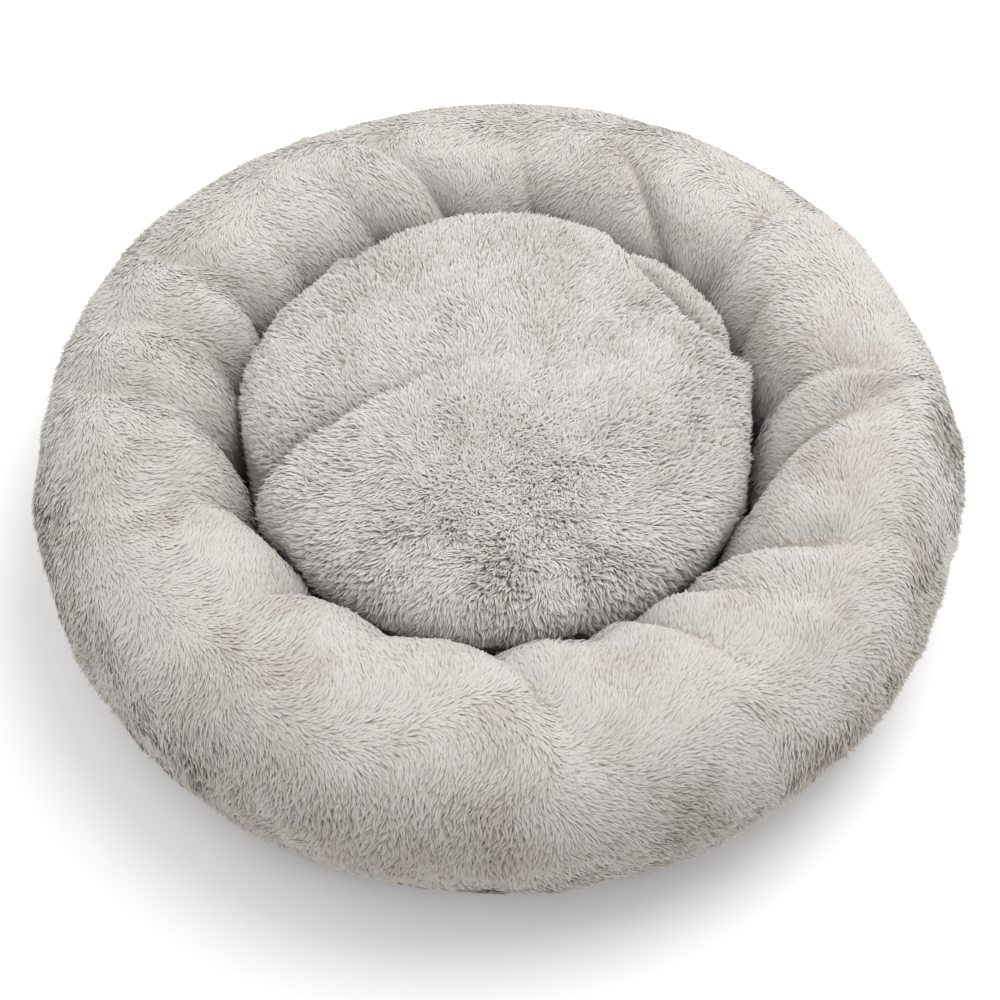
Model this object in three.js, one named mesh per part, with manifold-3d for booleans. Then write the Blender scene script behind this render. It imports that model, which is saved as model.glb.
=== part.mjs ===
// Round pet cushion bed: a stuffed fur ring on a cloth base, with a loose fur cushion in its nest.
// Millimetres, +Z up, +Y towards the back. The origin is the centre of the base's underside.
import * as THREE from 'three';
import { mergeVertices } from 'three/addons/utils/BufferGeometryUtils.js';
import Module from 'manifold-3d';

const wasm = await Module();
wasm.setup();

// --- fits -----------------------------------------------------------------------------------
const clothGap = 0.4; // between cloth pieces that lie on each other
const layerGap = 0.5; // between the nested layers inside a stuffed piece
const runGap = 0.4; // round a zip's moving pieces

// --- the ring -------------------------------------------------------------------------------
const ringOuterRadius = 350;
const ringTubeHalfWidth = 77;
const ringHeight = 160;
const ringWaistHeight = 80; // where the ring is widest
const ringSeamHalfWidth = 58; // from the tube's middle to the base seams
const ringStations = 14; // points across the arch

// --- the cushion ----------------------------------------------------------------------------
const cushionSideGap = 3; // to the narrowest part of the nest
const cushionEdgeHalfWidth = 60; // how far the rounded edge reaches in
const cushionWaistAbove = 64; // above the cushion's own underside
const cushionShoulderAbove = 124; // where the rounded edge meets the crown
const cushionCrown = 12; // rise of the crown above the shoulder
const cushionSeamHalfWidth = 44;
const cushionStations = 9;
const crownStations = 3;

// --- cloth ----------------------------------------------------------------------------------
const furThickness = 10; // cloth and pile together
const linerThickness = 1;
const baseThickness = 2;
const floorThickness = 2;
const undersideThickness = 1.6;
const bindingWidth = 3.6;
const bindingThickness = 1.6;
const seamTapeWidth = 4;
const seamTapeThickness = 1.2;
const fillingSlitLength = 60;
const fillingSlitWidth = 4;

// --- zips -----------------------------------------------------------------------------------
const tapeWidth = 11.7;
const tapeThickness = 0.8;
const tapeOverrun = 15; // past each stop
const coilWidth = 2;
const coilThickness = 2.2;
const postThickness = 1.2; // the slider's post runs between the coils
const postLength = 3;
const sliderLength = 10;
const sliderPlate = 1;
const sliderLip = 1.1; // how far the plate's edge turns in towards the tape
const sliderHalfHeight = 4.6;
const stopLength = 4;
const stopThickness = 3.4;
const crownHalfLength = 3.8; // the slider's bridge, which holds the pull
const crownLeg = 1.2;
const crownThickness = 0.9;
const crownClear = 2.5; // under the bridge
const crownWidth = 1.6;
const pullBarRadius = 0.6;
const pullArmInner = 1.4;
const pullArmOuter = 2.6;
const pullWindow = 5.4; // from the bar to where the tab begins
const pullThickness = 1.2;
const pullTabHalfHeight = 3.2;
const windowMargin = 10; // of the opening in the fur past the tape's ends


// Each zip stands above its seam, and its tapes keep a gap to the liner behind them.
const ringZip = { startDeg: 48, endDeg: 132, above: 2.1, backGap: 1, pullLength: 22 };
const cushionZip = { startDeg: 62, endDeg: 118, above: 2.1, backGap: 1.7, pullLength: 15 };

// --- care labels ----------------------------------------------------------------------------
const labelThickness = 0.8;
const labelReach = 15;
const labelWidth = 28;
const ringLabelDeg = 150;
const cushionLabelDeg = 140;

// The ring's fur is sewn from four lengths, because plush comes narrower than the way round it.
const furLengths = [
  { name: 'bolster_fur_right', startDeg: -40, endDeg: 40 },
  { name: 'bolster_fur_back', startDeg: 40, endDeg: 140 },
  { name: 'bolster_fur_left', startDeg: 140, endDeg: 220 },
  { name: 'bolster_fur_front', startDeg: 220, endDeg: 320 },
];
const furSeamGap = 0.5;

const turnSegments = 40; // round a full turn
const zipSegments = 80; // round a full turn, for the finer curve of a zip
const degree = Math.PI / 180;

const colours = {
  fur: { color: '#c6c1bb', roughness: 0.95, metalness: 0 },
  cushionFur: { color: '#c0bcb6', roughness: 0.95, metalness: 0 },
  fibre: { color: '#efeeea', roughness: 1, metalness: 0 },
  liner: { color: '#e8e6e1', roughness: 0.9, metalness: 0 },
  weave: { color: '#8d8780', roughness: 0.9, metalness: 0 },
  tape: { color: '#a39c94', roughness: 0.85, metalness: 0 },
  coil: { color: '#958e86', roughness: 0.5, metalness: 0 },
  metal: { color: '#9b9a98', roughness: 0.35, metalness: 1 },
  label: { color: '#f2f0ec', roughness: 0.7, metalness: 0 },
};

// --- sizes that follow ----------------------------------------------------------------------
const tubeRadius = ringOuterRadius - ringTubeHalfWidth; // middle of the tube, from the axis
const nestRadius = tubeRadius - ringTubeHalfWidth;
const seamHeight = baseThickness + clothGap;
const baseRadius = tubeRadius + ringSeamHalfWidth - bindingWidth - clothGap;
const floorTop = seamHeight + floorThickness;

const cushionBottom = floorTop + clothGap;
const cushionRadius = nestRadius - cushionSideGap;
const cushionEdgeCentre = cushionRadius - cushionEdgeHalfWidth;
const cushionSeamRadius = cushionEdgeCentre + cushionSeamHalfWidth;
const cushionSeamHeight = cushionBottom + undersideThickness + clothGap;

const linerInset = furThickness + layerGap; // depth of each liner under the fur's outer surface
const hollowInset = linerInset + linerThickness;
const fillInset = hollowInset + layerGap;

const zipHalfHeight = postThickness / 2 + runGap + coilWidth + clothGap + tapeWidth;

// A closed solid made by turning a closed (radius, height) outline about Z between two angles.
function sweep(outline, startAngle, endAngle) {
  const shape = new THREE.Shape(outline.map(([radius, height]) => new THREE.Vector2(radius, height)));
  const turn = endAngle - startAngle;
  const steps = Math.max(1, Math.ceil((turn / (2 * Math.PI)) * zipSegments));
  const geometry = new THREE.ExtrudeGeometry(shape, { depth: 1, steps, bevelEnabled: false });
  const position = geometry.attributes.position;
  for (let i = 0; i < position.count; i += 1) {
    const angle = endAngle - position.getZ(i) * turn;
    const radius = position.getX(i);
    position.setXYZ(i, radius * Math.cos(angle), radius * Math.sin(angle), position.getY(i));
  }
  return welded(geometry);
}

// A full turn of an outline that either closes on itself or starts and ends on the axis.
function turned(outline) {
  const points = outline.map(([radius, height]) => new THREE.Vector2(radius, height));
  const geometry = new THREE.LatheGeometry(points, turnSegments);
  geometry.rotateX(Math.PI / 2);
  return welded(geometry);
}

// Shared vertices only, with its faces pointing out.
function welded(geometry) {
  geometry.deleteAttribute('normal');
  geometry.deleteAttribute('uv');
  const merged = mergeVertices(geometry, 1e-4);
  const index = Array.from(merged.index.array);
  const kept = [];
  for (let i = 0; i < index.length; i += 3) {
    const [a, b, c] = index.slice(i, i + 3);
    if (a !== b && b !== c && a !== c) {
      kept.push(a, b, c);
    }
  }
  merged.setIndex(volumeOf(merged, kept) < 0 ? kept.reverse() : kept);
  return merged;
}

function volumeOf(geometry, index) {
  const corner = [new THREE.Vector3(), new THREE.Vector3(), new THREE.Vector3()];
  let sum = 0;
  for (let i = 0; i < index.length; i += 3) {
    corner.forEach((point, k) => point.fromBufferAttribute(geometry.attributes.position, index[i + k]));
    sum += corner[0].dot(corner[1].clone().cross(corner[2]));
  }
  return sum / 6;
}

function toSolid(geometry) {
  const vertProperties = Float32Array.from(geometry.attributes.position.array);
  const triVerts = Uint32Array.from(geometry.index.array);
  return new wasm.Manifold(new wasm.Mesh({ numProp: 3, vertProperties, triVerts }));
}

function toGeometry(solid) {
  const mesh = solid.getMesh();
  const geometry = new THREE.BufferGeometry();
  geometry.setAttribute('position', new THREE.BufferAttribute(mesh.vertProperties, 3));
  geometry.setIndex(new THREE.BufferAttribute(mesh.triVerts, 1));
  return geometry;
}

const joined = (...pieces) => toGeometry(pieces.map(toSolid).reduce((sum, piece) => sum.add(piece)));
const cut = (piece, ...tools) =>
  toGeometry(tools.map(toSolid).reduce((rest, tool) => rest.subtract(tool), toSolid(piece)));

const common = (piece, other) => toGeometry(toSolid(piece).intersect(toSolid(other)));

const rectangle = (inner, outer, low, high) => [[inner, low], [outer, low], [outer, high], [inner, high]];

function part(name, geometry, finish) {
  const mesh = new THREE.Mesh(geometry, new THREE.MeshStandardMaterial(colours[finish]));
  mesh.name = name;
  return mesh;
}

// --- stuffed sections -----------------------------------------------------------------------

const sineOf = (cosine) => Math.sqrt(1 - cosine ** 2);

// The ring's arch, a given depth under the fur, from the outer base seam over to the inner one.
function ringArch(inset, footHeight) {
  const halfWidth = ringTubeHalfWidth - inset;
  const lowHalf = (ringWaistHeight - seamHeight) / sineOf(ringSeamHalfWidth / ringTubeHalfWidth);
  const highHalf = ringHeight - ringWaistHeight - inset;
  const footAngle = Math.asin((footHeight - ringWaistHeight) / lowHalf);
  const points = [];
  for (let i = 0; i <= ringStations; i += 1) {
    const angle = footAngle + ((Math.PI - 2 * footAngle) * i) / ringStations;
    const rise = Math.sin(angle);
    const height = ringWaistHeight + rise * (rise < 0 ? lowHalf : highHalf);
    points.push([tubeRadius + halfWidth * Math.cos(angle), height]);
  }
  return points;
}

// The cushion's side and crown, a given depth under the fur, from the bottom seam to the axis.
function cushionArch(inset, footAbove) {
  const waist = cushionBottom + cushionWaistAbove;
  const halfWidth = cushionEdgeHalfWidth - inset;
  const lowHalf = (waist - cushionSeamHeight) / sineOf(cushionSeamHalfWidth / cushionEdgeHalfWidth);
  const highHalf = cushionShoulderAbove - cushionWaistAbove - inset;
  const footAngle = Math.asin((footAbove - waist) / lowHalf);
  const points = [];
  for (let i = 0; i <= cushionStations; i += 1) {
    const angle = footAngle + ((Math.PI / 2 - footAngle) * i) / cushionStations;
    const rise = Math.sin(angle);
    const height = waist + rise * (rise < 0 ? lowHalf : highHalf);
    points.push([cushionEdgeCentre + halfWidth * Math.cos(angle), height]);
  }
  for (let i = 1; i <= crownStations; i += 1) {
    const out = 1 - i / crownStations;
    const height = cushionBottom + cushionShoulderAbove - inset + cushionCrown * (1 - out ** 2);
    points.push([cushionEdgeCentre * out, height]);
  }
  return points;
}

const closedRing = (arch) => turned([...arch, arch[0]]);
const shell = (outer, inner) => [...outer, ...inner.slice().reverse()];

// A slit in a liner's underside, where the fibre goes in.
function fillingSlit(radius, footHeight) {
  const box = new THREE.BoxGeometry(fillingSlitWidth, fillingSlitLength, 4 * linerThickness);
  box.translate(-radius, 0, footHeight + linerThickness / 2);
  return welded(box);
}

function ringPieces(zip) {
  const hollowFoot = seamHeight + linerThickness;
  const fillFoot = hollowFoot + layerGap;

  const furRing = closedRing(shell(ringArch(0, seamHeight), ringArch(furThickness, seamHeight)));
  const fur = cut(furRing, zipWindow(zip));
  const halfSeam = furSeamGap / 2 / ringOuterRadius;
  const sector = rectangle(nestRadius / 2, 2 * ringOuterRadius, -ringHeight, 2 * ringHeight);
  const furs = furLengths.map(({ name, startDeg, endDeg }) => {
    const length = sweep(sector, startDeg * degree + halfSeam, endDeg * degree - halfSeam);
    return part(name, common(fur, length), 'fur');
  });
  const linerOuter = closedRing(ringArch(linerInset, seamHeight));
  const linerHollow = closedRing(ringArch(hollowInset, hollowFoot));
  const base = [[0, 0], [baseRadius, 0], [baseRadius, baseThickness], [0, baseThickness]];
  const floorRadius = ringArch(0, floorTop).at(-1)[0] - layerGap;
  const floor = [[0, seamHeight], [floorRadius, seamHeight], [floorRadius, floorTop], [0, floorTop]];
  const bindingInner = baseRadius + clothGap;
  const bindingOuter = bindingInner + bindingWidth;
  const binding = rectangle(bindingInner, bindingOuter, baseThickness - bindingThickness, baseThickness);
  const tapeTop = floorTop + clothGap + seamTapeThickness;
  const tapeBottom = floorTop + clothGap;
  const seamTapeOuter = ringArch(0, tapeTop).at(-1)[0] - layerGap;
  const seamTape = rectangle(seamTapeOuter - seamTapeWidth, seamTapeOuter, tapeBottom, tapeTop);

  return [
    ...furs,
    part('bolster_fill_liner', cut(linerOuter, linerHollow, fillingSlit(tubeRadius, seamHeight)), 'liner'),
    part('bolster_fill', closedRing(ringArch(fillInset, fillFoot)), 'fibre'),
    part('base_panel', turned(base), 'weave'),
    part('base_edge_binding', turned([...binding, binding[0]]), 'tape'),
    part('nest_floor_panel', turned(floor), 'weave'),
    part('inner_seam_tape', turned([...seamTape, seamTape[0]]), 'tape'),
  ];
}

function cushionPieces(zip) {
  const hollowFoot = cushionSeamHeight + linerThickness;
  const fillFoot = hollowFoot + layerGap;
  const undersideTop = cushionBottom + undersideThickness;
  const undersideRadius = cushionSeamRadius - bindingWidth - clothGap;

  const furOuter = cushionArch(0, cushionSeamHeight);
  const furSection = shell(furOuter, cushionArch(furThickness, cushionSeamHeight));
  const fur = turned([...furSection, furOuter[0]]);
  const linerOuter = turned([[0, cushionSeamHeight], ...cushionArch(linerInset, cushionSeamHeight)]);
  const linerHollow = turned([[0, hollowFoot], ...cushionArch(hollowInset, hollowFoot)]);
  const underside = [[0, cushionBottom], [undersideRadius, cushionBottom], [undersideRadius, undersideTop]];
  const bindingInner = undersideRadius + clothGap;
  const binding = rectangle(bindingInner, bindingInner + bindingWidth, cushionBottom, undersideTop);

  return [
    part('cushion_fur_cover', cut(fur, zipWindow(zip)), 'cushionFur'),
    part('cushion_underside_panel', turned([...underside, [0, undersideTop]]), 'weave'),
    part('cushion_edge_binding', turned([...binding, binding[0]]), 'tape'),
    part('cushion_fill_liner', cut(linerOuter, linerHollow, fillingSlit(0, cushionSeamHeight)), 'liner'),
    part('cushion_fill', turned([[0, fillFoot], ...cushionArch(fillInset, fillFoot)]), 'fibre'),
  ];
}

// --- zips -----------------------------------------------------------------------------------

// Where a zip stands: the radius and height of its coils, and the angles between its stops.
function placedZip(zip, arch, seam) {
  const middle = seam + zip.above + zipHalfHeight;
  const radius = arch(linerInset, middle + zipHalfHeight)[0][0] + zip.backGap + tapeThickness / 2;
  return {
    ...zip,
    radius,
    middle,
    start: zip.startDeg * degree,
    end: zip.endDeg * degree,
    angleOf: (length) => length / radius,
  };
}

// The opening that a zip takes out of the fur, from the seam up to the upper tape's edge.
function zipWindow(zip) {
  const past = zip.angleOf(stopLength + tapeOverrun + windowMargin);
  const top = zip.middle + zipHalfHeight + clothGap;
  const bottom = zip.middle - zipHalfHeight - furThickness;
  const reach = 4 * furThickness;
  const outline = rectangle(zip.radius - reach, zip.radius + reach, bottom, top);
  return sweep(outline, zip.start - past, zip.end + past);
}

// An outline about the zip's own middle: out from the coils' radius, and up from their height.
function zipSweep(zip, [inner, outer], [low, high], start, end) {
  const outline = rectangle(zip.radius + inner, zip.radius + outer, zip.middle + low, zip.middle + high);
  return sweep(outline, start, end);
}

// A reach of heights above the zip's middle for side 1, and below it for side -1.
const sided = (near, far, side) => (side > 0 ? [near, far] : [-far, -near]);

function zipTape(zip, side) {
  const past = zip.angleOf(stopLength + tapeOverrun);
  const reach = sided(zipHalfHeight - tapeWidth, zipHalfHeight, side);
  return zipSweep(zip, [-tapeThickness / 2, tapeThickness / 2], reach, zip.start - past, zip.end + past);
}

function zipCoil(zip, side) {
  const near = postThickness / 2 + runGap;
  const reach = sided(near, near + coilWidth, side);
  return zipSweep(zip, [-coilThickness / 2, coilThickness / 2], reach, zip.start, zip.end);
}

function zipStop(zip, start) {
  const halfHeight = postThickness / 2 + runGap + coilWidth;
  const reach = [-stopThickness / 2, stopThickness / 2];
  return zipSweep(zip, reach, [-halfHeight, halfHeight], start, start + zip.angleOf(stopLength));
}

// Half the gap that the coils run through, between the slider's two plates.
const channelHalf = coilThickness / 2 + runGap;
const plateOuter = channelHalf + sliderPlate;

// One plate of the slider, with both edges turned in towards the tape. side is 1 for the outer plate.
function sliderPlateSweep(zip, side, start, end) {
  const lipEnd = tapeThickness / 2 + runGap;
  const lipInner = sliderHalfHeight - sliderLip;
  const outline = [
    [plateOuter, -sliderHalfHeight],
    [plateOuter, sliderHalfHeight],
    [lipEnd, sliderHalfHeight],
    [lipEnd, lipInner],
    [channelHalf, lipInner],
    [channelHalf, -lipInner],
    [lipEnd, -lipInner],
    [lipEnd, -sliderHalfHeight],
  ].map(([out, up]) => [zip.radius + side * out, zip.middle + up]);
  return sweep(outline, start, end);
}

// At rest the slider stands a running gap away from the start stop.
function sliderMiddle(zip) {
  return zip.start + zip.angleOf(sliderLength / 2);
}

function zipSlider(zip) {
  const middle = sliderMiddle(zip);
  const half = zip.angleOf(sliderLength / 2);
  const postHalf = zip.angleOf(postLength / 2);
  const crownHalf = zip.angleOf(crownHalfLength);
  const legTurn = zip.angleOf(crownLeg);
  const crownReach = [-crownWidth / 2, crownWidth / 2];
  const crownTop = plateOuter + crownClear + crownThickness;
  const sunk = sliderPlate / 2; // how far each join reaches into the plate
  const legReach = [plateOuter - sunk, crownTop];
  const postReach = [-channelHalf - sunk, channelHalf + sunk];
  const postHeight = [-postThickness / 2, postThickness / 2];
  return joined(
    sliderPlateSweep(zip, 1, middle - half, middle + half),
    sliderPlateSweep(zip, -1, middle - half, middle + half),
    zipSweep(zip, postReach, postHeight, middle - postHalf, middle + postHalf),
    zipSweep(zip, legReach, crownReach, middle - crownHalf, middle - crownHalf + legTurn),
    zipSweep(zip, legReach, crownReach, middle + crownHalf - legTurn, middle + crownHalf),
    zipSweep(zip, [crownTop - crownThickness, crownTop], crownReach, middle - crownHalf, middle + crownHalf),
  );
}

// The pull's bar stands in the middle of the bridge, and is what the pull turns on.
const pullBarOut = plateOuter + crownClear / 2;

function pullPlate(low, high, start, length) {
  const box = new THREE.BoxGeometry(pullThickness, length, high - low);
  box.translate(0, start + length / 2, (low + high) / 2);
  return welded(box);
}

// The pull about its own bar: the tab lies along +Y, and +X points away from the zip.
function zipPull(zip) {
  const bar = new THREE.CylinderGeometry(pullBarRadius, pullBarRadius, 2 * pullArmOuter, 12);
  bar.rotateX(Math.PI / 2);
  const armLength = pullWindow + pullThickness / 2;
  return joined(
    welded(bar),
    pullPlate(-pullArmOuter, -pullArmInner, 0, armLength),
    pullPlate(pullArmInner, pullArmOuter, 0, armLength),
    pullPlate(-pullTabHalfHeight, pullTabHalfHeight, pullWindow, zip.pullLength - pullWindow),
  );
}

function zipPieces(name, zip) {
  const pull = part(`${name}_zip_pull`, zipPull(zip), 'metal');
  const turn = sliderMiddle(zip);
  const barRadius = zip.radius + pullBarOut;
  pull.position.set(barRadius * Math.cos(turn), barRadius * Math.sin(turn), zip.middle);
  pull.rotation.z = turn;
  return [
    part(`${name}_zip_tape_upper`, zipTape(zip, 1), 'tape'),
    part(`${name}_zip_tape_lower`, zipTape(zip, -1), 'tape'),
    part(`${name}_zip_coil_upper`, zipCoil(zip, 1), 'coil'),
    part(`${name}_zip_coil_lower`, zipCoil(zip, -1), 'coil'),
    part(`${name}_zip_stop_start`, zipStop(zip, zip.start - zip.angleOf(stopLength + runGap)), 'metal'),
    part(`${name}_zip_stop_end`, zipStop(zip, zip.end + zip.angleOf(runGap)), 'metal'),
    part(`${name}_zip_slider`, zipSlider(zip), 'metal'),
    pull,
  ];
}

// A blank tab sewn into a bottom seam, pointing straight out.
function careLabel(name, seamRadius, bottom, turn) {
  const box = new THREE.BoxGeometry(labelReach, labelWidth, labelThickness);
  const label = part(name, welded(box), 'label');
  const middle = seamRadius + labelReach / 2;
  label.position.set(middle * Math.cos(turn), middle * Math.sin(turn), bottom + labelThickness / 2);
  label.rotation.z = turn;
  return label;
}

const placedRingZip = placedZip(ringZip, ringArch, seamHeight);
const placedCushionZip = placedZip(cushionZip, cushionArch, cushionSeamHeight);
const ringLabelRadius = baseRadius + clothGap + bindingWidth + clothGap;
const ringLabelBottom = baseThickness - bindingThickness;
const cushionLabelRadius = cushionSeamRadius + clothGap;
const cushionLabelBottom = cushionBottom + clothGap;

const nest = new THREE.Group();
nest.add(
  ...ringPieces(placedRingZip),
  ...zipPieces('bolster', placedRingZip),
  careLabel('bolster_care_label', ringLabelRadius, ringLabelBottom, ringLabelDeg * degree),
);

const cushion = new THREE.Group();
cushion.add(
  ...cushionPieces(placedCushionZip),
  ...zipPieces('cushion', placedCushionZip),
  careLabel('cushion_care_label', cushionLabelRadius, cushionLabelBottom, cushionLabelDeg * degree),
);

const bed = new THREE.Group();
bed.add(nest, cushion);

export default bed;
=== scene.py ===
import bpy
import math
import numpy as np
from mathutils import Euler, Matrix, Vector


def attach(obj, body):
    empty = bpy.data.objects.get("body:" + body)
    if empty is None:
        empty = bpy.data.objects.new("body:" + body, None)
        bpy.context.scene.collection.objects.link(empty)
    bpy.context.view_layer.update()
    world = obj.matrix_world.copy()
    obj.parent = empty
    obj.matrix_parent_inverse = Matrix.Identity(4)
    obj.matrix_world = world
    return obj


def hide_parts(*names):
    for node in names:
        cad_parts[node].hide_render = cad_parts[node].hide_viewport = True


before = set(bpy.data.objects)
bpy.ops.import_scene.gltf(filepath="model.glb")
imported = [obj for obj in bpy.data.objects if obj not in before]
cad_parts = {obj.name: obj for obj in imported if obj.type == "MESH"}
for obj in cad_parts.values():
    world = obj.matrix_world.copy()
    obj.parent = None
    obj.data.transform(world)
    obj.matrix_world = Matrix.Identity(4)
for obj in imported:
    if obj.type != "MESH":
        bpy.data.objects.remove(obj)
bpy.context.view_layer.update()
mm = 0.001
fullTurn = 2 * math.pi
noiseCells = 32  # the noise repeats after this many lumps


def softNoise(points, size, seed):
    # smooth noise from -1 to 1, one lump per size
    lattice = np.random.default_rng(seed).uniform(-1, 1, (noiseCells,) * 3)
    place = points / size
    cell = np.floor(place).astype(np.int32)
    part = place - cell
    part = part * part * (3 - 2 * part)
    near = cell % noiseCells
    far = (cell + 1) % noiseCells
    x, y, z = part.T

    def row(iy, iz):
        return lattice[near[:, 0], iy, iz] * (1 - x) + lattice[far[:, 0], iy, iz] * x

    low = row(near[:, 1], near[:, 2]) * (1 - y) + row(far[:, 1], near[:, 2]) * y
    high = row(near[:, 1], far[:, 2]) * (1 - y) + row(far[:, 1], far[:, 2]) * y
    return low * (1 - z) + high * z


def smoothStep(low, high, value):
    part = np.clip((value - low) / (high - low), 0, 1)
    return part * part * (3 - 2 * part)


def unit(vectors):
    return vectors / np.maximum(np.linalg.norm(vectors, axis=-1, keepdims=True), 1e-12)


def angleApart(a, b):
    return (a - b + math.pi) % fullTurn - math.pi


def nodePoints(*names):
    return np.array([v.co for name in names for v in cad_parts[name].data.vertices], float)


def turnOf(points):
    return np.arctan2(points[:, 1], points[:, 0])


def reachOf(points):
    return np.hypot(points[:, 0], points[:, 1])


# Sizes that come from the design.
furNodes = ["bolster_fur_right", "bolster_fur_back", "bolster_fur_left", "bolster_fur_front"]
ringFur = nodePoints(*furNodes)
ringOuter, nestRadius = reachOf(ringFur).max(), reachOf(ringFur).min()
ringFoot, ringTop = ringFur[:, 2].min(), ringFur[:, 2].max()
cushionFur = nodePoints("cushion_fur_cover")
cushionRadius = reachOf(cushionFur).max()
cushionFoot, cushionTop = cushionFur[:, 2].min(), cushionFur[:, 2].max()
cushionFootRadius = reachOf(cushionFur[cushionFur[:, 2] < cushionFoot + mm]).max()


ring = {
    "waist": 80 * mm,  # height of the widest part
    "footHalf": 58 * mm,  # from the tube's middle to the seams
    "lumpSize": 125 * mm,
    "lumpDepth": 4.5 * mm,
    "dimpleSize": 42 * mm,
    "dimpleDepth": 1.6 * mm,
    "lobeSwell": 6 * mm,  # the cloth swells between its gathers
    "lobePlace": 0.63,  # where over the arch: 0.5 is the crest, 1 the inner seam
    "fillMiddle": (0.273, 0.07),  # radius and height that the liner and the fill shrink towards
}

# Where the cloth is gathered into the inner seam: degrees round, depth in mm, how far over
# the arch the gather starts (0.5 is the crest), and the degrees it leans at its outer end.
gathers = [
    (2, 9, 0.38, 0), (22, 6, 0.5, 3), (37, 11, 0.38, 1), (56, 9, 0.42, 16),
    (83, 6, 0.5, 5), (105, 9, 0.42, 9), (122, 7, 0.48, 6), (139, 5, 0.54, -2),
    (155, 12, 0.35, 0), (170, 10, 0.38, -1), (186, 12, 0.33, -4), (206, 9, 0.43, -2),
    (231, 9, 0.46, -3), (250, 5, 0.58, -2), (271, 8, 0.42, 7), (287, 5, 0.54, 4),
    (297, 8, 0.44, 6), (310, 8, 0.46, 8), (323, 12, 0.4, 7), (348, 11, 0.36, 9),
]
lobeEdge = 14 * mm  # how far from a gather the cloth takes to swell up


def gatherRelief(turn, arch, reach):
    # each lobe is a dome between two gathers, with a crease at each of them
    outward = np.clip(0.66 - arch, -0.2, 0.3) * 5
    middles = [math.radians(degrees) + math.radians(lean) * outward for degrees, _, _, lean in gathers]
    strengths = [
        depth * mm * smoothStep(start - 0.14, start + 0.24, arch) for _, depth, start, _ in gathers
    ]
    relief = np.zeros(len(turn))
    for i in range(len(gathers)):
        after = (i + 1) % len(gathers)
        width = (middles[after] - middles[i]) % fullTurn
        share = ((turn - middles[i]) % fullTurn) / width
        inside = share < 1
        strength = strengths[i] * (1 - share) + strengths[after] * share
        edge = np.minimum(share, 1 - share) * width * reach
        rounding = (2.5 + 22 * np.clip(0.72 - arch, 0, 1)) * mm  # sharp at the seam, soft past the crest
        edge = np.sqrt(edge**2 + rounding**2) - rounding
        dome = (1 - np.exp(-edge / lobeEdge)) / (1 - np.exp(-width * reach / 2 / lobeEdge))
        height = strength * (1.35 * dome - 1)
        relief = np.where(inside, height, relief)
    return relief


def ringSurface(turn, arch, inset=0.0):
    # arch runs from the outer base seam (0) over the crest (0.5) to the inner one (1)
    tubeRadius, halfWidth = (ringOuter + nestRadius) / 2, (ringOuter - nestRadius) / 2
    lowHalf = (ring["waist"] - ringFoot) / math.sqrt(1 - (ring["footHalf"] / halfWidth) ** 2)
    footAngle = -math.asin((ring["waist"] - ringFoot) / lowHalf)
    angle = footAngle + (math.pi - 2 * footAngle) * arch
    deep = inset * smoothStep(-0.01, 0.04, arch) * smoothStep(1.01, 0.96, arch)
    rise = np.sin(angle)
    reach = tubeRadius + (halfWidth - deep) * np.cos(angle)
    height = ring["waist"] + rise * np.where(rise < 0, lowHalf, ringTop - ring["waist"] - deep)
    points = np.stack([reach * np.cos(turn), reach * np.sin(turn), height], 1)
    outward = np.stack([np.cos(angle) * np.cos(turn), np.cos(angle) * np.sin(turn), np.sin(angle)], 1)
    push = ring["lumpDepth"] * (softNoise(points, ring["lumpSize"], 11) - 0.3)
    push += ring["dimpleDepth"] * softNoise(points, ring["dimpleSize"], 12)
    push += gatherRelief(turn, arch, reach)
    push += ring["lobeSwell"] * np.exp(-(((arch - ring["lobePlace"]) / 0.1) ** 2))
    free = smoothStep(0.07, 0.2, arch) * smoothStep(1, 0.86, arch)  # the seams and the zip stay put
    return points + outward * (push * free)[:, None]


cushion = {
    "edge": 60 * mm,  # how far the rounded edge reaches in
    "waist": 68.8 * mm,
    "crown": 12 * mm,  # rise from the rounded edge to the middle
    "puff": 7 * mm,  # how far the stuffing lifts the top
    "fullness": 3.2,  # 2 is a round edge, more is boxier
    "edgeShare": 0.6,
    "lean": (-1 * mm, 3 * mm),  # the top lies against the back of the nest
    "outline": [  # degrees round, and how far the top's outline stands out there in mm
        (0, 4), (22, 11), (42, 15), (58, 9), (78, 17), (97, 20), (120, 9), (148, 5),
        (170, 9), (187, 6), (204, -1), (230, 11), (270, 13), (300, 12), (328, 8), (350, 2),
    ],
    "lumpSize": 85 * mm,
    "lumpDepth": 3.5 * mm,
    "dimpleSize": 30 * mm,
    "dimpleDepth": 1.5 * mm,
    "whorl": (0.011, -0.075),  # the pile lies outwards from here
}

# Folds in the loose cover, as points along them in mm, the depth, the half width,
# and how much the cover stands up on the right of the fold.
cushionFolds = [
    ([(-190, -98), (-158, -62), (-131, -38), (-88, -10), (-30, 14)], 20, 9, 16),
    ([(176, 40), (142, 78), (118, 118), (98, 158), (90, 190)], 17, 8, -12),
    ([(-130, 160), (-96, 118), (-84, 92)], 5, 12, 4),
    ([(60, -180), (52, -140), (58, -100)], 4, 12, 2),
]


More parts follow.
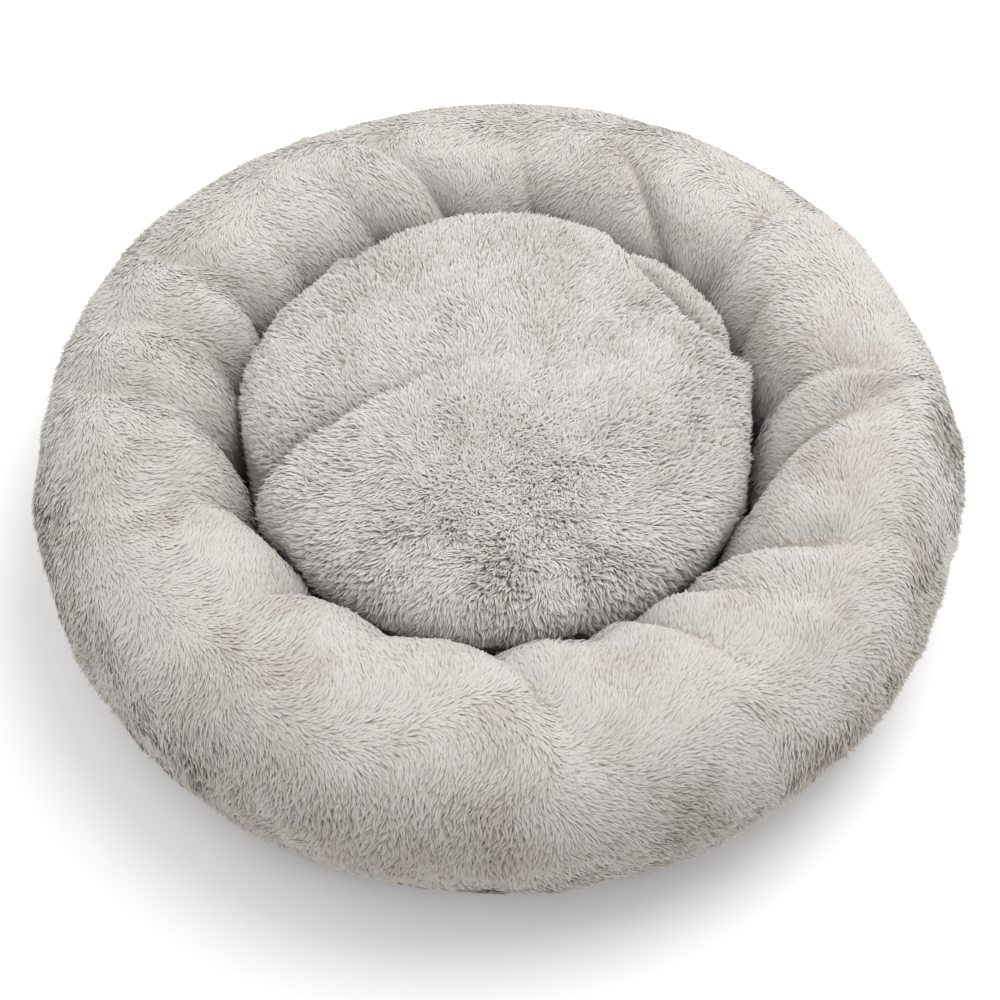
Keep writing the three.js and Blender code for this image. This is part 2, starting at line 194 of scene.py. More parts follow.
def alongFold(points, line):
    # distance to a fold, its side (1 is left), and how far along it
    best = np.full(len(points), 1e9)
    side, along = np.zeros(len(points)), np.zeros(len(points))
    line = np.array(line) * mm
    for i in range(len(line) - 1):
        a, b = line[i], line[i + 1]
        share = np.clip(((points[:, :2] - a) @ (b - a)) / ((b - a) @ (b - a)), 0, 1)
        off = points[:, :2] - (a + share[:, None] * (b - a))
        away = np.linalg.norm(off, axis=1)
        near = away < best
        cross = (b - a)[0] * off[:, 1] - (b - a)[1] * off[:, 0]
        best = np.where(near, away, best)
        side = np.where(near, np.sign(cross), side)
        along = np.where(near, (i + share) / (len(line) - 1), along)
    return best, side, along


def cushionSurface(turn, across, inset=0.0):
    # across runs from the bottom seam (0) over the rounded edge to the middle (1)
    edge, waist = cushion["edge"], cushion["waist"]
    footAngle = -math.acos((cushionFootRadius - cushionRadius + edge) / edge)
    angle = np.clip(across / cushion["edgeShare"], 0, 1) * (math.pi / 2 - footAngle) + footAngle
    rise = np.sin(angle)
    bend = np.where(rise > 0, 2 / cushion["fullness"], 1.0)
    deep = inset * smoothStep(-0.01, 0.06, across)
    reach = cushionRadius - edge + (edge - deep) * np.cos(angle).clip(0) ** bend
    highHalf = cushionTop - cushion["crown"] - waist - deep
    lowHalf = (waist - cushionFoot) / abs(math.sin(footAngle))
    height = waist + np.where(rise > 0, highHalf * np.abs(rise) ** bend, lowHalf * rise)
    inward = np.clip((across - cushion["edgeShare"]) / (1 - cushion["edgeShare"]), 0, 1)
    reach = np.where(inward > 0, (cushionRadius - edge) * (1 - inward), reach)
    height = height + cushion["crown"] * (1 - (1 - inward) ** 2) * (inward > 0)
    high = smoothStep(waist, waist + 45 * mm, height)
    degrees, swell = np.array(cushion["outline"], float).T
    swell = np.interp(np.degrees(turn) % 360, np.append(degrees, 360), np.append(swell, swell[0])) * mm
    reach = reach + swell * high * smoothStep(0, cushionRadius * 0.8, reach)
    height = height + cushion["puff"] * high
    points = np.stack([reach * np.cos(turn), reach * np.sin(turn), height], 1)
    points[:, :2] += np.array(cushion["lean"]) * high[:, None]
    tilt = np.where(inward > 0, math.pi / 2, angle)
    outward = np.stack([np.cos(tilt) * np.cos(turn), np.cos(tilt) * np.sin(turn), np.sin(tilt)], 1)
    push = cushion["lumpDepth"] * softNoise(points, cushion["lumpSize"], 21)
    push += cushion["dimpleDepth"] * softNoise(points, cushion["dimpleSize"], 22)
    for line, depth, width, step in cushionFolds:
        away, side, along = alongFold(points, line)
        fade = smoothStep(1.25, 0.2, along) * smoothStep(70 * mm, 95 * mm, height)
        push -= depth * mm * np.exp(-away / (width * mm)) * fade
        push += step * mm * -side * smoothStep(0, 7 * mm, away) * np.exp(-away / (28 * mm)) * fade
    free = smoothStep(0.05, 0.3, across)
    return points + outward * (push * free)[:, None]


def grownGrid(surface, rows, columns, inset):
    along = np.repeat(np.linspace(0, 1, rows), columns)
    turn = np.tile(np.arange(columns) / columns * fullTurn, rows)
    points = surface(turn, along, inset).reshape(rows, columns, 3)
    up = unit(np.gradient(points, axis=0))
    round_ = unit(np.roll(points, -1, 1) - np.roll(points, 1, 1))
    normal = unit(np.cross(round_, up))
    return {"points": points, "normal": normal, "up": up, "round": round_}


def lookUp(grid, turn, along):
    rows, columns = grid["points"].shape[:2]
    v, u = along * (rows - 1), (turn % fullTurn) / fullTurn * columns
    row, column = np.minimum(v.astype(int), rows - 2), u.astype(int) % columns
    dv, du = (v - row)[:, None], (u - np.floor(u))[:, None]
    after = (column + 1) % columns
    found = []
    for key in ("points", "normal", "up", "round"):
        values = grid[key]
        low = values[row, column] * (1 - du) + values[row, after] * du
        high = values[row + 1, column] * (1 - du) + values[row + 1, after] * du
        found.append(low * (1 - dv) + high * dv)
    return found[0], unit(found[1]), unit(found[2]), unit(found[3])


def makeMesh(name, points, quads=(), tris=(), uv=None, normals=None):
    mesh = bpy.data.meshes.new(name)
    quads, tris = np.asarray(quads, np.int64).reshape(-1, 4), np.asarray(tris, np.int64).reshape(-1, 3)
    corners = np.concatenate([quads.ravel(), tris.ravel()])
    starts = np.concatenate([np.arange(len(quads)) * 4, len(quads) * 4 + np.arange(len(tris)) * 3])
    mesh.vertices.add(len(points))
    mesh.vertices.foreach_set("co", np.asarray(points, np.float32).ravel())
    mesh.loops.add(len(corners))
    mesh.loops.foreach_set("vertex_index", corners.astype(np.int32))
    mesh.polygons.add(len(starts))
    mesh.polygons.foreach_set("loop_start", starts.astype(np.int32))
    mesh.polygons.foreach_set("use_smooth", np.ones(len(starts), bool))
    if uv is not None:
        layer = mesh.uv_layers.new(name="OFBake")
        layer.data.foreach_set("uv", uv[corners].astype(np.float32).ravel())
    mesh.update(calc_edges=True)
    if normals is not None:
        mesh.normals_split_custom_set_from_vertices(normals.astype(np.float32))
    piece = bpy.data.objects.new(name, mesh)
    bpy.context.scene.collection.objects.link(piece)
    return piece


def gridFaces(rows, columns, closed):
    # faces of a grid stored row by row; a closed one joins its last column to its first
    row = np.arange(rows - 1)[:, None] * columns
    column = np.arange(columns if closed else columns - 1)[None, :]
    after = (column + 1) % columns
    faces = np.stack([row + column, row + after, row + columns + after, row + columns + column], -1)
    return faces.reshape(-1, 4)


def newMaterial(name):
    material = bpy.data.materials.new(name)
    material.use_nodes = True
    nodes = material.node_tree.nodes
    return material, nodes, material.node_tree.links, nodes["Principled BSDF"]


def newGroup(name, inputs, outputs):
    group = bpy.data.node_groups.new(name, "ShaderNodeTree")
    for title, kind, value in inputs:
        socket = group.interface.new_socket(title, in_out="INPUT", socket_type=kind)
        if value is not None:
            socket.default_value = value
    for title, kind in outputs:
        group.interface.new_socket(title, in_out="OUTPUT", socket_type=kind)
    nodes = group.nodes
    return group, nodes, group.links, nodes.new("NodeGroupInput"), nodes.new("NodeGroupOutput")


def pileColourGroup():
    # a strand's colour from its root to its tip, between a dull strand and a pale one
    group, nodes, links, given, result = newGroup(
        "pileColour",
        [
            ("Shade", "NodeSocketFloat", 0.5),
            ("Along", "NodeSocketFloat", 0.5),
            ("Root", "NodeSocketColor", None),
            ("Dull tip", "NodeSocketColor", None),
            ("Pale middle", "NodeSocketColor", None),
            ("Pale tip", "NodeSocketColor", None),
        ],
        [("Color", "NodeSocketColor")],
    )

    def mixed(factor, a, b):
        mix = nodes.new("ShaderNodeMix")
        mix.data_type = "RGBA"
        links.new(factor, mix.inputs["Factor"])
        links.new(a, mix.inputs["A"])
        links.new(b, mix.inputs["B"])
        return mix.outputs["Result"]

    def ramped(low, high):
        reach = nodes.new("ShaderNodeMapRange")
        reach.interpolation_type = "SMOOTHSTEP"
        reach.inputs["From Min"].default_value = low
        reach.inputs["From Max"].default_value = high
        links.new(given.outputs["Along"], reach.inputs["Value"])
        return reach.outputs["Result"]

    dull = mixed(ramped(0.35, 1.0), given.outputs["Root"], given.outputs["Dull tip"])
    paleLow = mixed(ramped(0.0, 0.45), given.outputs["Root"], given.outputs["Pale middle"])
    pale = mixed(ramped(0.45, 0.95), paleLow, given.outputs["Pale tip"])
    links.new(mixed(given.outputs["Shade"], dull, pale), result.inputs["Color"])
    return group


pileColour = pileColourGroup()


def plushMaterial(name, look):
    material, nodes, links, shader = newMaterial(name)
    place = nodes.new("ShaderNodeUVMap")
    place.uv_map = "OFBake"
    split = nodes.new("ShaderNodeSeparateXYZ")
    links.new(place.outputs["UV"], split.inputs[0])
    colour = nodes.new("ShaderNodeGroup")
    colour.node_tree = pileColour
    links.new(split.outputs["X"], colour.inputs["Shade"])
    links.new(split.outputs["Y"], colour.inputs["Along"])
    for title in ("Root", "Dull tip", "Pale middle", "Pale tip"):
        colour.inputs[title].default_value = (*look[title], 1)
    links.new(colour.outputs["Color"], shader.inputs["Base Color"])
    shader.inputs["Roughness"].default_value = 0.8
    shader.inputs["Specular IOR Level"].default_value = 0.25
    shader.inputs["Sheen Weight"].default_value = look["sheen"]
    shader.inputs["Sheen Roughness"].default_value = 0.5
    return material


def calculated(nodes, links, operation, *values):
    node = nodes.new("ShaderNodeMath")
    node.operation = operation
    for socket, value in zip(node.inputs, values):
        if isinstance(value, (int, float)):
            socket.default_value = value
        else:
            links.new(value, socket)
    return node.outputs["Value"]


def clothWeaveGroup():
    # threads that pass over and under each other, with painted shade in the gaps between them; Place is in
    # metres over the cloth
    group, nodes, links, given, result = newGroup(
        "clothWeave",
        [
            ("Place", "NodeSocketVector", None),
            ("Threads per metre", "NodeSocketFloat", 900),
            ("Painted gap shade", "NodeSocketColor", None),
            ("Thread", "NodeSocketColor", None),
            ("Mottle", "NodeSocketFloat", 0.15),
        ],
        [("Color", "NodeSocketColor"), ("Height", "NodeSocketFloat")],
    )
    split = nodes.new("ShaderNodeSeparateXYZ")
    links.new(given.outputs["Place"], split.inputs[0])
    waves = []
    for axis in ("X", "Y"):
        count = given.outputs["Threads per metre"]
        turns = calculated(nodes, links, "MULTIPLY", split.outputs[axis], count)
        angle = calculated(nodes, links, "MULTIPLY", turns, math.pi)
        waves.append(calculated(nodes, links, "SINE", angle))
    over = calculated(nodes, links, "GREATER_THAN", calculated(nodes, links, "MULTIPLY", *waves), 0.0)
    warp, weft = (calculated(nodes, links, "ABSOLUTE", wave) for wave in waves)
    pick = nodes.new("ShaderNodeMix")
    for socket, value in (("Factor", over), ("A", warp), ("B", weft)):
        links.new(value, pick.inputs[socket])
    height = pick.outputs["Result"]
    noise = nodes.new("ShaderNodeTexNoise")
    noise.inputs["Scale"].default_value = 60
    links.new(given.outputs["Place"], noise.inputs["Vector"])
    worn = calculated(nodes, links, "MULTIPLY", noise.outputs["Fac"], given.outputs["Mottle"])
    # painted shade: the colour falls to the gap colour where the threads dip, with a random mottle
    colour = nodes.new("ShaderNodeMix")
    colour.data_type = "RGBA"
    links.new(calculated(nodes, links, "SUBTRACT", height, worn), colour.inputs["Factor"])
    links.new(given.outputs["Painted gap shade"], colour.inputs["A"])
    links.new(given.outputs["Thread"], colour.inputs["B"])
    links.new(colour.outputs["Result"], result.inputs["Color"])
    links.new(height, result.inputs["Height"])
    return group


clothWeave = clothWeaveGroup()


def wovenCloth(name, look, wrapReach=0.0):
    # wrapReach is the radius of a tape that stands round the bed; flat cloth has none
    material, nodes, links, shader = newMaterial(name)
    place = nodes.new("ShaderNodeTexCoord").outputs["Object"]
    if wrapReach:
        split = nodes.new("ShaderNodeSeparateXYZ")
        links.new(place, split.inputs[0])
        turn = calculated(nodes, links, "ARCTAN2", split.outputs["Y"], split.outputs["X"])
        wrapped = nodes.new("ShaderNodeCombineXYZ")
        links.new(calculated(nodes, links, "MULTIPLY", turn, wrapReach), wrapped.inputs["X"])
        links.new(split.outputs["Z"], wrapped.inputs["Y"])
        place = wrapped.outputs["Vector"]
    weave = nodes.new("ShaderNodeGroup")
    weave.node_tree = clothWeave
    links.new(place, weave.inputs["Place"])
    weave.inputs["Threads per metre"].default_value = look["threads"]
    # the gap colour is painted shade between the threads
    weave.inputs["Painted gap shade"].default_value = (*look["gap"], 1)
    weave.inputs["Thread"].default_value = (*look["thread"], 1)
    weave.inputs["Mottle"].default_value = look["mottle"]
    links.new(weave.outputs["Color"], shader.inputs["Base Color"])
    bump = nodes.new("ShaderNodeBump")
    bump.inputs["Strength"].default_value = 0.5
    bump.inputs["Distance"].default_value = 0.2 * mm
    links.new(weave.outputs["Height"], bump.inputs["Height"])
    links.new(bump.outputs["Normal"], shader.inputs["Normal"])
    shader.inputs["Roughness"].default_value = 0.85
    return material


# each gap colour is painted shade between the threads; each thread colour is the cloth's own
clothLooks = {
    "base": {"threads": 900, "gap": (0.12, 0.11, 0.1), "thread": (0.27, 0.25, 0.23), "mottle": 0.3},
    "lining": {"threads": 1000, "gap": (0.3, 0.28, 0.26), "thread": (0.52, 0.49, 0.46), "mottle": 0.2},
    "binding": {"threads": 1400, "gap": (0.2, 0.18, 0.165), "thread": (0.39, 0.36, 0.33), "mottle": 0.2},
    "tape": {"threads": 1500, "gap": (0.23, 0.21, 0.19), "thread": (0.43, 0.4, 0.37), "mottle": 0.15},
    "label": {"threads": 2200, "gap": (0.7, 0.69, 0.66), "thread": (0.88, 0.87, 0.84), "mottle": 0.1},
    "backing": {"threads": 700, "gap": (0.3, 0.26, 0.22), "thread": (0.46, 0.41, 0.36), "mottle": 0.3},
    "liner": {"threads": 1100, "gap": (0.6, 0.59, 0.57), "thread": (0.82, 0.81, 0.78), "mottle": 0.1},
}


def mottledFinish(name, dark, light, roughness, metallic=0.0, size=120):
    # a finish whose colour and gloss vary a little over the surface
    material, nodes, links, shader = newMaterial(name)
    place = nodes.new("ShaderNodeTexCoord")
    noise = nodes.new("ShaderNodeTexNoise")
    noise.inputs["Scale"].default_value = size
    noise.inputs["Detail"].default_value = 4
    links.new(place.outputs["Object"], noise.inputs["Vector"])
    colour = nodes.new("ShaderNodeMix")
    colour.data_type = "RGBA"
    colour.inputs["A"].default_value = (*dark, 1)
    colour.inputs["B"].default_value = (*light, 1)
    links.new(noise.outputs["Fac"], colour.inputs["Factor"])
    links.new(colour.outputs["Result"], shader.inputs["Base Color"])
    gloss = nodes.new("ShaderNodeMapRange")
    gloss.inputs["To Min"].default_value = roughness[0]
    gloss.inputs["To Max"].default_value = roughness[1]
    links.new(noise.outputs["Fac"], gloss.inputs["Value"])
    links.new(gloss.outputs["Result"], shader.inputs["Roughness"])
    shader.inputs["Metallic"].default_value = metallic
    return material


# The bolster and the cushion wear the same fur; the bolster's copy is painted darker, painted shade, and
# the cushion's paler, painted light, to even out how light falls on each.
bolsterLook = {
    "Root": (0.34, 0.29, 0.25),
    "Dull tip": (0.52, 0.475, 0.43),
    "Pale middle": (0.53, 0.505, 0.475),
    "Pale tip": (0.585, 0.57, 0.55),
    "sheen": 0.25,
}
cushionLook = {
    "Root": (0.37, 0.335, 0.295),
    "Dull tip": (0.55, 0.53, 0.50),
    "Pale middle": (0.55, 0.535, 0.51),
    "Pale tip": (0.70, 0.695, 0.68),
    "sheen": 0.25,
}
bolsterPlush = plushMaterial("bolster_plush", bolsterLook)
cushionPlush = plushMaterial("cushion_plush", cushionLook)
backingCloth = wovenCloth("plush_backing", clothLooks["backing"])
linerCloth = wovenCloth("liner_cloth", clothLooks["liner"])
baseCloth = wovenCloth("base_cloth", clothLooks["base"])
liningCloth = wovenCloth("lining_cloth", clothLooks["lining"])
bindingTape = wovenCloth("binding_tape", clothLooks["binding"], 330 * mm)
zipTape = wovenCloth("zip_tape", clothLooks["tape"], 336 * mm)
labelCloth = wovenCloth("label_cloth", clothLooks["label"])
fibreWool = mottledFinish("fibre", (0.78, 0.78, 0.76), (0.9, 0.9, 0.88), (0.9, 1.0), size=90)
thread = mottledFinish("sewing_thread", (0.42, 0.39, 0.36), (0.55, 0.52, 0.48), (0.6, 0.75), size=400)
gripRubber = mottledFinish("grip_rubber", (0.05, 0.05, 0.05), (0.09, 0.085, 0.08), (0.6, 0.8), size=200)
coilNylon = mottledFinish("zip_coil", (0.27, 0.25, 0.23), (0.35, 0.33, 0.3), (0.35, 0.5), size=300)
zipMetal = mottledFinish("zip_metal", (0.46, 0.455, 0.45), (0.6, 0.595, 0.585), (0.28, 0.42), 1.0, 500)


pile = {
    "backing": 4 * mm,  # depth of the cloth under the design's surface
    "length": 8.5 * mm,
    "width": 1.4 * mm,
    "gap": 1.2 * mm,  # between strands
    "curl": 20,  # degrees that the tip lies lower than the root
    "tuft": 5.5 * mm,  # size of the tufts that the tips gather into
}
quickWidth = 1
tuftTurn = np.array(Euler((0.6, 0.9, 0.4)).to_matrix())


def growPile(name, body, material, pieces, strands):
    # strands is a dictionary of arrays, one entry for each strand
    rng = np.random.default_rng(len(name))
    roots, normal, lay, turn = (strands[k] for k in ("roots", "normal", "lay", "turn"))
    count = len(roots)
    lift, length, width = strands["lift"], strands["length"][:, None], strands["width"][:, None]
    loose = strands["loose"]
    lift = np.clip(lift + rng.normal(0, 0.16, count) * loose, 0.05, 1.4)
    lay = unit(lay + rng.normal(0, 0.24, (count, 3)) * loose[:, None])
    tipLift = lift - math.radians(pile["curl"])
    low = unit(normal * np.sin(lift)[:, None] + lay * np.cos(lift)[:, None])
    high = unit(normal * np.sin(tipLift)[:, None] + lay * np.cos(tipLift)[:, None])
    middle = roots + low * length * 0.5
    tip = middle + high * length * 0.5
    # tips gather into tufts, whose cells are turned and bent so that they don't line up
    lattice = np.random.default_rng(61).uniform(-0.45, 0.45, (noiseCells,) * 3 + (3,))
    bent = tip @ tuftTurn + np.stack([4 * mm * softNoise(tip, 13 * mm, k) for k in (62, 63, 64)], 1)
    cell = np.floor(bent / pile["tuft"]).astype(int)
    near = cell % noiseCells
    centre = (cell + 0.5 + lattice[near[:, 0], near[:, 1], near[:, 2]]) * pile["tuft"]
    pull = (centre - bent) @ tuftTurn.T
    pull -= normal * (pull * normal).sum(1)[:, None]
    pull *= strands["tufted"][:, None]
    tip = tip + pull
    middle = middle + pull * 0.3
    side = unit(np.cross(low, normal))
    roll = (rng.normal(0, 0.4, count) * loose)[:, None]
    side = unit(side + normal * roll)
    crest = unit(np.cross(side, low))
    points = np.stack(
        [
            roots - side * width * 0.4,
            roots + side * width * 0.4,
            middle - side * width * 0.5,
            middle + side * width * 0.5,
            tip,
        ],
        1,
    )
    points[:, :, 2] = np.maximum(points[:, :, 2], 0.5 * mm)
    soft = strands["soft"][:, None]
    shading = unit(normal * soft + crest * (1 - soft))
    shading = np.stack(
        [unit(shading - side * 0.25), unit(shading + side * 0.25)] * 2 + [shading], 1
    )
    spread = 0.02
    u = np.clip(strands["shade"][:, None], spread, 1 - spread) + np.array([-1, 1, -1, 1, 0]) * spread
    v = np.broadcast_to([0.02, 0.02, 0.5, 0.5, 0.98], (count, 5))
    uv = np.stack([u, v], -1)
    for i in range(pieces):
        inside = ((turn - i * fullTurn / pieces) % fullTurn) < fullTurn / pieces
        first = np.arange(inside.sum())[:, None] * 5
        piece = makeMesh(
            f"{name}_{i + 1:02d}",
            points[inside].reshape(-1, 3),
            quads=first + (0, 1, 3, 2),
            tris=first + (2, 3, 4),
            uv=uv[inside].reshape(-1, 2),
            normals=shading[inside].reshape(-1, 3),
        )
        piece.data.materials.append(material)
        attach(piece, body)


def scatter(surface, inset, rng):
    # a place for each strand: rows of equal steps over the cloth, each jittered
    probe = np.linspace(0, 1, 400)
    line = surface(np.zeros(400), probe, inset)
    run = np.concatenate([[0], np.cumsum(np.linalg.norm(np.diff(line, axis=0), axis=1))])
    rows = int(run[-1] / pile["gap"])
    alongs = np.interp((np.arange(rows) + 0.5) / rows * run[-1], run, probe)
    reaches = reachOf(surface(np.zeros(rows), alongs, inset))
    counts = np.maximum(3, (fullTurn * reaches / pile["gap"]).astype(int))
    along = np.repeat(alongs, counts)
    step = np.concatenate([np.arange(n) / n for n in counts])
    shift = np.repeat(rng.uniform(0, 1, rows), counts)
    jitter = rng.uniform(-0.6, 0.6, len(along)) / np.repeat(counts, counts)
    turn = (step + shift + jitter) % 1 * fullTurn
    stepAlong = np.repeat(np.gradient(alongs), counts)
    along = np.clip(along + rng.uniform(-0.6, 0.6, len(along)) * stepAlong, 0.001, 0.999)
    return turn, along


def rotated(lay, other, angle):
    return lay * np.cos(angle)[:, None] + other * np.sin(angle)[:, None]


def zipWindow(prefix):
    # where the fur is cut away for a zip: its start and end in radians, and its top
    tape = nodePoints(prefix + "_zip_tape_upper", prefix + "_zip_tape_lower")
    return turnOf(tape).min() - 0.01, turnOf(tape).max() + 0.01, tape[:, 2].max() + 0.3 * mm


ringWindow, cushionWindow = zipWindow("bolster"), zipWindow("cushion")


def inWindow(turn, height, window, margin=0.0):
    aside = (turn % fullTurn > window[0] - margin / 0.3) & (turn % fullTurn < window[1] + margin / 0.3)
    return aside & (height < window[2] + margin)


def ringPile():
    rng = np.random.default_rng(31)
    grid = grownGrid(ringSurface, 220, 1300, pile["backing"])
    turn, arch = scatter(ringSurface, pile["backing"], rng)
    roots, normal, up, round_ = lookUp(grid, turn, arch)
    atZip = inWindow(turn, roots[:, 2], ringWindow, 1 * mm) & (arch < 0.5)
    keep = ~atZip & (arch < 0.965) & (arch > 0.004)
    turn, arch, roots, normal, up, round_ = (a[keep] for a in (turn, arch, roots, normal, up, round_))
    crest = smoothStep(0.16, 0.42, arch + 0.06 * softNoise(roots, 55 * mm, 40))
    crest = crest * smoothStep(0.95, 0.7, arch)
    low = smoothStep(0.16, 0.03, arch)
    brush = smoothStep(-0.25, 0.25, softNoise(roots, 75 * mm, 41) + 0.35 * softNoise(roots, 25 * mm, 42))
    ruffle = smoothStep(-0.3, 0.5, softNoise(roots, 40 * mm, 43) + 0.4 * softNoise(roots, 15 * mm, 44))
    swirl = 1.1 * (brush - 0.5) + 0.8 * softNoise(roots, 110 * mm, 45) + 0.3 * softNoise(roots, 20 * mm, 46)
    swirl += math.pi * smoothStep(0.3, 0.6, arch + 0.06 * softNoise(roots, 90 * mm, 47))
    swirl += 1.1 * low + 0.55 * softNoise(roots, 13 * mm, 37) * (1 - 0.5 * crest)
    lay = unit(rotated(-up, round_, swirl))
    rough = (1 - 0.85 * crest) * (0.4 + 0.6 * ruffle) * (1 - 0.5 * low)
    lift = np.radians(6 + 34 * rough + 9 * softNoise(roots, 14 * mm, 38) * (1 - 0.6 * crest))
    length = pile["length"] * (1 + 0.15 * softNoise(roots, 11 * mm, 48) + rng.normal(0, 0.1, len(roots)))
    length *= 0.4 + 0.6 * smoothStep(0, 0.05, arch)
    # painted light: the crest is painted paler and the low outer side painted darker, as light falls from
    # above; ruffles, nap patches and noise vary the tone
    shade = 0.3 + 0.6 * crest - 0.2 * low - 0.3 * (ruffle - 0.5) + 0.16 * (brush - 0.5)
    shade += 0.26 * softNoise(roots, 22 * mm, 39) + 0.1 * softNoise(roots, 9 * mm, 49)
    shade += rng.normal(0, 0.08, len(roots))
    strands = {
        "roots": roots, "normal": normal, "lay": lay, "turn": turn, "lift": lift, "length": length,
        "width": pile["width"] * rng.uniform(0.8, 1.3, len(roots)) * (1 + 0.35 * crest) * quickWidth,
        "shade": shade, "tufted": 0.1 + 0.65 * rough, "soft": 0.66 + 0.32 * crest,
        "loose": 0.25 + 0.75 * rough,
    }
    growPile("bolster_pile", "nest", bolsterPlush, 16, strands)
    return len(roots)


def cushionPile():
    rng = np.random.default_rng(32)
    grid = grownGrid(cushionSurface, 200, 900, pile["backing"])
    turn, across = scatter(cushionSurface, pile["backing"], rng)
    roots, normal, _, _ = lookUp(grid, turn, across)
    atZip = inWindow(turn, roots[:, 2], cushionWindow, 1 * mm) & (across < 0.4)
    keep = ~atZip & (across > 0.01)
    turn, across, roots, normal = (a[keep] for a in (turn, across, roots, normal))
    away = roots[:, :2] - np.array(cushion["whorl"])
    flow = np.column_stack([away, np.zeros(len(away))])
    flow = unit(flow - normal * (flow * normal).sum(1)[:, None])
    aside = unit(np.cross(normal, flow))
    swirl = 0.5 * softNoise(roots, 13 * mm, 50) + 0.6 * softNoise(roots, 80 * mm, 51)
    swirl = swirl + 0.45 * softNoise(roots, 26 * mm, 52) + 0.25 * softNoise(roots, 10 * mm, 53)
    edge = smoothStep(20 * mm, 110 * mm, np.linalg.norm(away, axis=1))
    loose = 1 - edge
    swirl = swirl * (1 + 1.6 * loose) + rng.normal(0, 0.9, len(roots)) * loose
    lay = unit(rotated(flow, aside, swirl))
    ruffle = smoothStep(-0.4, 0.5, softNoise(roots, 38 * mm, 54) + 0.4 * softNoise(roots, 14 * mm, 55))
    lift = np.radians(27 + 13 * loose + 14 * (ruffle - 0.5))
    length = pile["length"] * (1 + 0.15 * softNoise(roots, 11 * mm, 56) + rng.normal(0, 0.1, len(roots)))
    shade = 0.6 - 0.08 * loose - 0.22 * (ruffle - 0.5) + 0.12 * softNoise(roots, 60 * mm, 57)
    shade += 0.14 * softNoise(roots, 7 * mm, 58) + rng.normal(0, 0.14, len(roots))
    strands = {
        "roots": roots, "normal": normal, "lay": lay, "turn": turn, "lift": lift, "length": length,
        "width": pile["width"] * rng.uniform(0.75, 1.3, len(roots)) * quickWidth,
        "shade": shade, "tufted": 0.35 + 0.35 * ruffle,
        "soft": np.full(len(roots), 0.68), "loose": 0.5 + 0.5 * ruffle,
    }
    growPile("cushion_pile", "cushion", cushionPlush, 6, strands)
    return len(roots)


def ringCloth(name, start, end):
    rows, columns = 110, int(190 * (end - start) / (math.pi / 2))
    arch = np.repeat(np.linspace(0, 1, rows), columns)
    turn = np.tile(np.linspace(start, end, columns), rows)
    points = ringSurface(turn, arch, pile["backing"])
    faces = gridFaces(rows, columns, False)
    hidden = inWindow(turn, points[:, 2], ringWindow) & (arch < 0.5)
    return makeMesh(name, points, faces[~hidden[faces].any(1)])


def ringTube(name, inset, foot):
    # a closed ring inside the cover
    rows, columns = 70, 420
    arch = np.repeat(np.linspace(0, 1, rows), columns)
    turn = np.tile(np.arange(columns) / columns * fullTurn, rows)
    points = ringSurface(turn, arch, 0.0)
    middle, high = ring["fillMiddle"]
    centre = np.stack([middle * np.cos(turn), middle * np.sin(turn), np.full(len(turn), high)], 1)
    inward = unit(centre - points)
    points = points + inward * inset
    points[:, 2] = np.maximum(points[:, 2], foot)
    faces = gridFaces(rows, columns, True)
    last = (rows - 1) * columns + np.arange(columns)
    first = np.arange(columns)
    floor = np.stack([last, np.roll(last, -1), np.roll(first, -1), first], 1)
    return makeMesh(name, points, np.concatenate([faces, floor]))


def cushionCap(inset, foot, windowed=False):
    rows, columns = 90, 300
    across = np.repeat(np.linspace(0, 0.995, rows), columns)
    turn = np.tile(np.arange(columns) / columns * fullTurn, rows)
    points = cushionSurface(turn, across, inset)
    points[:, 2] = np.maximum(points[:, 2], foot)
    last = (rows - 1) * columns + np.arange(columns)
    after = (rows - 1) * columns + (np.arange(columns) + 1) % columns
    tris = np.stack([last, after, np.full(columns, len(points))], 1)
    faces = gridFaces(rows, columns, True)
    hidden = inWindow(turn, points[:, 2], cushionWindow) & (across < 0.4)
    if windowed:
        faces = faces[~hidden[faces].any(1)]
    return np.vstack([points, points[-columns:].mean(0)]), faces, tris


for name in furNodes:
    turn = turnOf(nodePoints(name))
    middle = math.atan2(np.sin(turn).mean(), np.cos(turn).mean())
    away = angleApart(turn, middle)
    cloth = ringCloth(name.replace("fur", "cloth"), middle + away.min(), middle + away.max())
    cloth.data.materials.append(backingCloth)
    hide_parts(name)
    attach(cloth, "nest")
for name, node, inset, foot in (
    ("bolster_liner", "bolster_fill_liner", 10.5 * mm, 2.5 * mm),
    ("bolster_fibre", "bolster_fill", 12 * mm, 4 * mm),
):
    tube = ringTube(name, inset, foot)
    tube.data.materials.append(linerCloth if "liner" in name else fibreWool)
    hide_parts(node)
    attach(tube, "nest")
print("ring: cloth and", ringPile(), "strands")

points, quads, tris = cushionCap(pile["backing"], cushionFoot, windowed=True)
cover = makeMesh("cushion_cloth", points, quads, tris)
cover.data.materials.append(backingCloth)
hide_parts("cushion_fur_cover")
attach(cover, "cushion")
for name, node, inset, foot in (
    ("cushion_liner", "cushion_fill_liner", 11 * mm, cushionFoot + 0.1 * mm),
    ("cushion_fibre", "cushion_fill", 13 * mm, cushionFoot + 1.5 * mm),
):
    points, quads, tris = cushionCap(inset, foot)
    bag = makeMesh(name, points, quads, tris)
    bag.data.materials.append(linerCloth if "liner" in name else fibreWool)
    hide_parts(node)
    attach(bag, "cushion")
print("cushion: cloth and", cushionPile(), "strands")


zipDetail = {
    "coilPitch": 1.5 * mm,
    "coilWire": 0.32 * mm,
    "coilSteps": 9,  # points in each turn of the wire
    "stitchStep": 3.4 * mm,
    "stitchLength": 2.5 * mm,
    "stitchWidth": 0.5 * mm,
}


